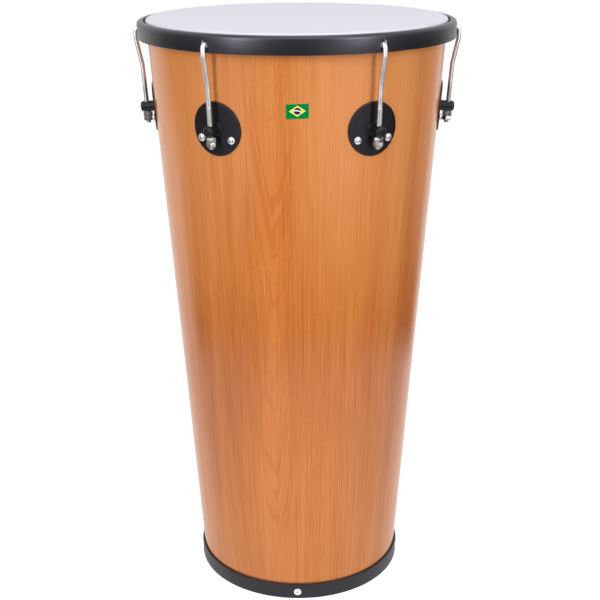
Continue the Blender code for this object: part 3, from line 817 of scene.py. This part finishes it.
def along_wall(radius, height):
    """A point beside a lug as distances up the wall and out of it, from the lug's centre."""
    right = radius - shell_radius(LUG_HEIGHT)
    up = height - LUG_HEIGHT
    sine, cosine = math.sin(WALL_ANGLE), math.cos(WALL_ANGLE)
    return Vector((right * sine + up * cosine, right * cosine - up * sine))


def filleted(before, corner, after, radius, steps):
    """Points that round a corner between two straight runs."""
    into = (corner - before).normalized()
    out = (after - corner).normalized()
    turn = into.angle(out)
    start = corner - into * radius * math.tan(turn / 2)
    side = Vector((-into.y, into.x))
    if side.dot(out) < 0:
        side.negate()
    return [start + into * (radius * math.sin(angle)) + side * (radius * (1 - math.cos(angle)))
            for angle in (0.0, *between(0.0, turn, steps))]


def run(start, end, pitch):
    """Evenly spaced points between two ends, without the first."""
    steps = max(1, round((end - start).length / pitch))
    return [start.lerp(end, share) for share in between(0.0, 1.0, steps)]


def hook_path():
    """The hook's centre line, from its tip to its threaded end, as points up and out."""
    bend_round, kink_round = 0.012, 0.025
    leg_pitch, stem_pitch, thread_pitch = 0.0003, 0.002, THREAD_PITCH / 7
    tip = along_wall(HOOK_INNER_RADIUS, ARCH_MID_Z - HOOK_LEG)
    arch = [along_wall(*spot) for spot in arc((ARCH_MID_RADIUS, ARCH_MID_Z), ARCH_RADIUS, 180, 0, 28)]
    bend = along_wall(HOOK_OUTER_RADIUS, ARCH_MID_Z + ARCH_RADIUS - HOOK_DROP)
    kink = Vector((KINK_ABOVE_POST, ROD_OFFSET))
    thread_top = Vector((THREAD_ABOVE_POST, ROD_OFFSET))
    end = Vector((ROD_END, ROD_OFFSET))
    first = filleted(arch[-1], bend, kink, bend_round, 10)
    second = filleted(bend, kink, thread_top, kink_round, 10)
    path = [tip] + run(tip, arch[0], leg_pitch)[:-1] + arch + first + second
    path += run(second[-1], thread_top, stem_pitch)
    path += run(thread_top, end, thread_pitch)
    return path


def make_hooks():
    """The six tension rods: hooked over above, threaded below."""
    path = hook_path()
    thread_length = THREAD_ABOVE_POST - ROD_END
    gone = [0.0]
    for before, after in zip(path, path[1:]):
        gone.append(gone[-1] + (after - before).length)
    length = gone[-1]
    for index, hook in enumerate(numbered("hook", LUG_COUNT)):
        place = wall_frame(lug_azimuth(index), LUG_HEIGHT)
        line = chain("rod line", [place @ Vector((0.0, spot.x, spot.y)) for spot in path])
        ends = line.attributes.new("from_end", "FLOAT", "POINT")
        ends.data.foreach_set("value", [length - value for value in gone])
        mesh = grown(hook, line, rod_tree, {
            "Rod Radius": ROD_RADIUS, "Thread Radius": THREAD_RADIUS, "Thread Depth": THREAD_DEPTH,
            "Thread Pitch": THREAD_PITCH, "Thread Length": thread_length,
            "End Chamfer": ROD_END_CHAMFER, "Rod Length": length, "Sides": 28, "Finish": rod_chrome})
        mesh.materials.append(thread_steel)
        depth = mesh.attributes["from_end"].data
        for polygon in mesh.polygons:
            spots = [depth[i].value for i in polygon.vertices]
            polygon.material_index = 1 if max(spots) < thread_length else 0
        for name in ("centre", "round"):
            mesh.attributes.remove(mesh.attributes[name])
        piece(f"rod_{index + 1}", mesh, hook, "rod_chrome", hook, angle=60)


def lug_profile():
    """Plate and post as one turned outline above the shell, which runs down its outer side."""
    top = FIT + PLATE_THICKNESS
    rim, weld, post_round = 0.0006, 0.0012, 0.0030
    rings = 12
    profile = [(0.0, POST_END)]
    profile += arc((POST_RADIUS - post_round, POST_END - post_round), post_round, 90, 0, 8)
    profile += arc((POST_RADIUS + weld, top + weld), weld, 180, 270, 5)
    profile += [(radius, top) for radius in between(POST_RADIUS + weld, PLATE_RADIUS - rim, rings)[:-1]]
    profile += arc((PLATE_RADIUS - rim, top - rim), rim, 90, 0, 4)
    profile.append((PLATE_RADIUS, FIT))
    profile += [(radius, FIT) for radius in between(PLATE_RADIUS, 0.0, rings)[:-1]]
    profile.append((0.0, FIT))
    return profile


def make_lugs():
    """Plates bent to the shell's curve, each with its post, the rod's bore and two screw holes."""
    bore_play, bore_reach = 0.0005, 0.012
    mesh = turned("lug", lug_profile(), lug_paint, sides=120)
    for vertex in mesh.vertices:
        x, y, z = vertex.co
        radius = shell_radius(LUG_HEIGHT) / math.cos(WALL_ANGLE) + y * TAPER
        vertex.co.z = z - (radius - math.sqrt(radius ** 2 - x ** 2))
    bore = Matrix.Translation((0, 0, ROD_OFFSET)) @ Matrix.Rotation(-math.pi / 2, 4, "X")
    mesh = drilled(mesh, [bore], THREAD_RADIUS + bore_play, -bore_reach, bore_reach, 40)
    home = wall_frame(0.0, LUG_HEIGHT).inverted()
    holes = [home @ wall_frame(side * SCREW_TURN, SCREW_HEIGHT) for side in (-1, 1)]
    mesh = drilled(mesh, holes, SCREW_RADIUS + FIT, low=-0.003, high=0.006, sides=32)
    mesh = placed("lug_plates", mesh, lug_paint, {
        "Radius": shell_radius(LUG_HEIGHT), "Height": LUG_HEIGHT, "Seed": 1})
    piece("lug_plates", mesh, "shell", "lug_paint", *numbered("lug", LUG_COUNT))


def hex_nut(flats, height, bore, finish):
    """Hexagon nut about its own Z, from 0 down to its height: turned corners, countersunk bore."""
    corner = flats / 2 / math.cos(math.pi / 6)
    blank = cylinders([Matrix.Rotation(math.pi / 6, 4, "Z")], corner, -height, 0.0, 6)
    slope, proud, beyond, sink = 0.57, 0.0001, 0.001, 0.0005
    face = flats / 2 * 0.95
    fall = (corner - face + beyond) * slope
    turning = turned("turning", [
        (0.0, proud), (face, proud), (corner + beyond, -fall), (corner + beyond, -height + fall),
        (face, -height - proud), (0.0, -height - proud)], finish, sides=72)
    mesh = cut_from(blank, turning, "INTERSECT")
    mouth = bore + sink + beyond
    hollow = turned("bore", [
        (0.0, beyond), (mouth, beyond), (bore, -sink), (bore, -height + sink),
        (mouth, -height - beyond), (0.0, -height - beyond)], finish, sides=48)
    return cut_from(mesh, hollow)


def make_nuts():
    """Tuning nut and lock nut under each post, each pair turned a little differently."""
    nut = rounded(hex_nut(NUT_FLATS, NUT_HEIGHT, THREAD_RADIUS + FIT, nut_steel), 0.00012)
    out = shell_radius(LUG_HEIGHT) + ROD_OFFSET * math.cos(WALL_ANGLE) + NUT_TOP * math.sin(WALL_ANGLE)
    up = LUG_HEIGHT - ROD_OFFSET * math.sin(WALL_ANGLE) + NUT_TOP * math.cos(WALL_ANGLE)
    for index in range(LUG_COUNT):
        mesh = placed("nut_pair", nut, nut_steel, {
            "Places": 1, "First Azimuth": lug_azimuth(index), "Copies": 2, "Radius": out, "Height": up,
            "Tilt": WALL_ANGLE, "Stack Step": NUT_HEIGHT + FIT, "Spin": 0.45, "Seed": 11 + index})
        n = index + 1
        piece(f"nut_pair_{n}", mesh, f"nuts_{n}", "nut_steel", f"tuning_nut_{n}", f"lock_nut_{n}")


def recess_bar(turn, top):
    """One tapered bar of the cross that is cut into a screw's head."""
    reach, width, depth = 0.0023, 0.00052, 0.0016
    low_reach, low_width, beyond = reach * 0.45, 0.00035, 0.001
    bm = bmesh.new()
    side = Matrix.Rotation(turn, 4, "Z")
    for vertex in bmesh.ops.create_cube(bm, size=2.0)["verts"]:
        x, y, z = vertex.co
        if z < 0:
            vertex.co = side @ Vector((x * low_reach, y * low_width, top - depth))
        else:
            vertex.co = side @ Vector((x * reach, y * width, top + beyond))
    return meshed("recess", bm)


def screw_profile():
    """Domed head, shank, and a thread of ridges on the part inside the shell."""
    edge, thread_depth, ridge_step, point = 0.00035, 0.00035, 0.0004, 0.0006
    thread_top = 0.001 - SHELL_WALL
    profile = [(0.0, SCREW_SEAT + SCREW_HEAD_HEIGHT)]
    profile += dome(0.0, SCREW_HEAD_RADIUS, SCREW_SEAT + edge, SCREW_HEAD_HEIGHT - edge, 9)
    profile += [(SCREW_HEAD_RADIUS, SCREW_SEAT + edge), (SCREW_HEAD_RADIUS - edge / 2, SCREW_SEAT),
                (SCREW_RADIUS, SCREW_SEAT)]
    depth = SCREW_SEAT
    while depth > SCREW_TIP + 2 * ridge_step:
        depth -= ridge_step
        if depth < thread_top:
            profile.append((SCREW_RADIUS - (thread_depth if len(profile) % 2 else 0.0), depth))
    return profile + [(SCREW_RADIUS - point, SCREW_TIP), (0.0, SCREW_TIP)]


def make_screws():
    """Two cross-headed screws in each lug, and their nuts on the inside of the shell."""
    screw = turned("screw", screw_profile(), screw_steel, sides=40)
    for turn in (0.0, math.pi / 2):
        screw = cut_from(screw, recess_bar(turn, SCREW_SEAT + SCREW_HEAD_HEIGHT))
    sizes = {
        "Copies": 2, "Spread": 2 * SCREW_TURN, "Radius": shell_radius(SCREW_HEIGHT),
        "Height": SCREW_HEIGHT, "Spin": 3.1, "Seed": 5}
    mesh = placed("lug_screws", screw, screw_steel, sizes)
    piece("lug_screws", mesh, "shell", "screw_steel", *paired("lug_screw"))
    nut = hex_nut(INNER_NUT_FLATS, INNER_NUT_HEIGHT, SCREW_RADIUS + FIT, nut_steel)
    nut.transform(Matrix.Translation((0, 0, -SHELL_WALL - FIT)))
    mesh = placed("inner_nuts", rounded(nut, 0.0001), nut_steel, {**sizes, "Seed": 8})
    piece("inner_nuts", mesh, "shell", "nut_steel", *paired("inner_nut"))


def make_rivets():
    """Hollow blind rivets in the foot ring, with painted shade in their hollows and swollen tails inside the
    shell.
    """
    hollow, hollow_depth = 0.0012, 0.0022
    lip, rim = 0.0003, 0.0002
    swell, tail_length, tail_edge = 0.0011, 0.004, 0.0004
    top = FIT + RIVET_HEAD_HEIGHT
    tail = shell_radius(RIVET_HEIGHT - RIVET_RADIUS - swell) - SHELL_WALL - RING_RADIUS - FIT
    profile = [(0.0, top - hollow_depth), (hollow * 0.6, top - hollow_depth + 0.0001),
               (hollow, top - hollow_depth + 0.0004), (hollow, top - 0.0001), (hollow + lip, top)]
    profile += dome(hollow + lip, RIVET_HEAD_RADIUS, FIT + rim, RIVET_HEAD_HEIGHT - rim, 8)
    profile += [(RIVET_HEAD_RADIUS, FIT + rim), (RIVET_HEAD_RADIUS - rim, FIT), (RIVET_RADIUS, FIT),
                (RIVET_RADIUS, tail)]
    for share in between(0.0, 1.0, 8)[:-1]:
        profile.append((RIVET_RADIUS + swell * math.sin(math.pi * share), tail - tail_length * share))
    profile += [(RIVET_RADIUS - tail_edge, tail - tail_length), (0.0, tail - tail_length)]
    rivet = turned("rivet", profile, rivet_metal, sides=40)
    mesh = placed("foot_rivets", rivet, rivet_metal, {
        "Places": RIVET_COUNT, "First Azimuth": 0.0, "Step": 2 * math.pi / RIVET_COUNT,
        "Radius": RING_RADIUS, "Height": RIVET_HEIGHT, "Tilt": math.pi / 2, "Seed": 3})
    # The hollows take the near-black metal: the mandrel left inside is darker, and painted shade in the
    # hollow darkens it further
    mesh.materials.append(flesh_metal)
    for polygon in mesh.polygons:
        middle = polygon.center
        out = max(abs(middle.x), abs(middle.y))
        beside = math.hypot(min(abs(middle.x), abs(middle.y)), middle.z - RIVET_HEIGHT)
        if out > RING_RADIUS - RING_WALL and beside < hollow + 0.0001:
            polygon.material_index = 1
    piece("foot_rivets", mesh, "shell", "rivet_metal", *numbered("ring_rivet", RIVET_COUNT))


def make_decal():
    """Thin printed patch on the front of the shell, just below the hoop."""
    wall_radius = 0.171
    left, right = -0.0088 / wall_radius, 0.0156 / wall_radius
    low, high = 0.6198, 0.6358
    lean, lift, thickness = 0.006, 0.00003, 0.00012
    bm = bmesh.new()
    bmesh.ops.create_grid(bm, x_segments=24, y_segments=16, size=0.5)
    layer = bm.loops.layers.uv.new("UVMap")
    for face in bm.faces:
        for loop in face.loops:
            loop[layer].uv = (loop.vert.co.x + 0.5, loop.vert.co.y + 0.5)
    for vertex in bm.verts:
        azimuth = left + (right - left) * (vertex.co.x + 0.5)
        height = low + (high - low) * (vertex.co.y + 0.5) + azimuth * lean
        radius = shell_radius(height) + lift
        vertex.co = (radius * math.sin(azimuth), -radius * math.cos(azimuth), height)
    mesh = meshed("flag_decal", bm)
    mesh.materials.append(decal_print)
    obj = linked("decal", mesh)
    solid = obj.modifiers.new("Sheet", "SOLIDIFY")
    solid.thickness = thickness
    solid.offset = 1.0
    piece("flag_decal", plain(obj), "shell", None)


# Studio


def background_rays(flow):
    """1 for the rays that show the background, and 1 for the mirrored ones alone."""
    rays = flow.node("ShaderNodeLightPath").outputs
    glossy = flow.term(rays["Is Glossy Ray"])
    seen = flow.term(rays["Is Camera Ray"]).at_least(glossy).at_least(flow.term(rays["Is Transmission Ray"]))
    return seen, glossy


def staged_square(name, half_width, material):
    """A level square of the studio, which isn't part of the drum."""
    bm = bmesh.new()
    bmesh.ops.create_grid(bm, x_segments=1, y_segments=1, size=half_width)
    mesh = meshed(name, bm)
    mesh.materials.append(material)
    square = linked(name, mesh)
    return square


def make_floor():
    """Pale floor that is white wherever the background shows, and keeps the drum's shadow."""
    flow = Finish("pale floor", Base_Color=rgb(0.66, 0.66, 0.66), Roughness=0.9, Specular_IOR_Level=0.0,
                  Emission_Color=rgb(1.0, 1.0, 1.0))
    staged_square("floor", 30.0, flow.shade(Emission_Strength=background_rays(flow)[0] * 0.74))


def make_surround():
    """Dark studio floor beyond the white paper, which shows in reflections alone."""
    flow = Finish("dark surround", Base_Color=rgb(0.050, 0.055, 0.072), Roughness=0.95,
                  Specular_IOR_Level=0.0)
    x, y = flow.split(flow.place())[:2]
    away = hypotenuse(x, y)
    near_side = 1.0 - ((y - x * 0.30) / away).step(0.36, 0.74)
    far_side = 1.0 - ((y - x * 0.15) / away).step(0.40, 0.78)
    dark_side = near_side + (far_side - near_side) * away.step(1.8, 3.2)
    beyond_paper = away.step(0.62, 0.90) * dark_side
    far_light = (x / away).hump(0.55, 0.45) * 0.55 + (-1.0 * x / away).hump(0.60, 0.35) * 0.30
    far_light = far_light * away.step(1.05, 1.60)
    surround = staged_square("surround", 9.0, flow.shade(Alpha=beyond_paper * (0.95 - far_light)))
    surround.location.z = 0.001
    surround.visible_camera = surround.visible_diffuse = surround.visible_shadow = False


def make_light(name, place, aim, size, power):
    """Rectangular lamp at a place, pointed at a spot."""
    light = bpy.data.lights.new(name, "AREA")
    light.shape = "RECTANGLE"
    light.size, light.size_y = size
    light.energy = power
    obj = linked(name, light)
    obj.location = place
    obj.rotation_euler = (Vector(aim) - Vector(place)).to_track_quat("-Z", "Y").to_euler()


def make_studio():
    """Floor, surround, three soft lamps and a world that is white where it shows."""
    make_floor()
    make_surround()
    world = bpy.data.worlds.new("studio")
    bpy.context.scene.world = world
    world.use_nodes = True
    flow = Flow(world.node_tree)
    seen, glossy = background_rays(flow)
    background = world.node_tree.nodes["Background"]
    x, y, z = flow.split(flow.node("ShaderNodeTexCoord").outputs["Generated"])
    front = (abs(x) * 0.25 + x * 0.10 - y).step(-0.30, 0.10) * (1.0 - z.step(0.10, 0.60)) * glossy
    flow.feed(background.inputs["Color"], flow.mix(front, rgb(1.0, 1.0, 1.0), rgb(0.22, 0.23, 0.29)))
    flow.feed(background.inputs["Strength"], 0.42 + seen * 0.58)
    drum, tall = (0, 0, 0.65), (0.5, 1.9)
    make_light("left softbox", place=(-1.60, -2.00, 1.30), aim=drum, size=tall, power=35.4)
    make_light("right softbox", place=(1.75, -1.90, 1.35), aim=drum, size=tall, power=34.2)
    make_light("overhead fill", place=(0.2, -0.6, 2.6), aim=(0, 0, 0.60), size=(1.4, 1.4), power=8)


def make_camera():
    """The camera that was fitted to the photograph, in millimetres, metres and degrees."""
    lens = 69.5366
    place = (0.00236, -1.39420, 0.84744)
    tilt, roll, azimuth = 19.41159, -0.25193, 1.0
    data = bpy.data.cameras.new("camera")
    data.sensor_width = 36.0
    data.lens = lens
    camera = linked("camera", data)
    aim = Matrix.Rotation(math.pi / 2 - math.radians(tilt), 4, "X")
    stand = Matrix.Translation(place) @ aim @ Matrix.Rotation(math.radians(roll), 4, "Z")
    camera.matrix_world = Matrix.Rotation(math.radians(azimuth), 4, "Z") @ stand
    bpy.context.scene.camera = camera


veneer = make_veneer()
bare_ply = make_bare_ply()
hoop_paint = make_black_paint("satin hoop paint", shade=0.003, roughness=0.36, grain=900.0,
                              gloss=0.85, drawn=1.4)
lug_paint = make_black_paint("satin lug paint", shade=0.005, roughness=0.42, grain=1100.0)
ring_paint = make_black_paint("satin foot ring paint", shade=0.011, roughness=0.44, grain=800.0)
film_finish = make_film_finish()
# Near-black metal for the ring in the gap under the hoop's lip, and for the painted shade in the rivets'
# hollows
flesh_metal = make_metal("dark anodised hoop", (0.035, 0.035, 0.040), roughness=0.60, brushed=300.0)
rod_chrome = make_metal("bright chrome", (0.96, 0.97, 1.00), roughness=0.38, brushed=400.0,
                        wear=0.08, relief=0.08)
thread_steel = make_metal("rolled thread", (0.66, 0.65, 0.62), roughness=0.42, brushed=500.0)
nut_steel = make_metal("plated nut", (0.74, 0.705, 0.645), roughness=0.34, brushed=700.0)
screw_steel = make_metal("plated screw", (0.88, 0.89, 0.90), roughness=0.40, brushed=600.0, wear=0.08)
rivet_metal = make_metal("bare rivet", (0.88, 0.89, 0.90), roughness=0.34, brushed=600.0)
decal_print = make_decal_print()

turning_tree = make_turning_tree()
places_tree = make_places_tree()
rod_tree = make_rod_tree()

make_shell()
make_ring()
make_film()
make_flesh_hoop()
make_hoop()
make_lugs()
make_hooks()
make_nuts()
make_screws()
make_rivets()
make_decal()
make_studio()
make_camera()
bpy.context.scene.view_settings.view_transform = "Standard"
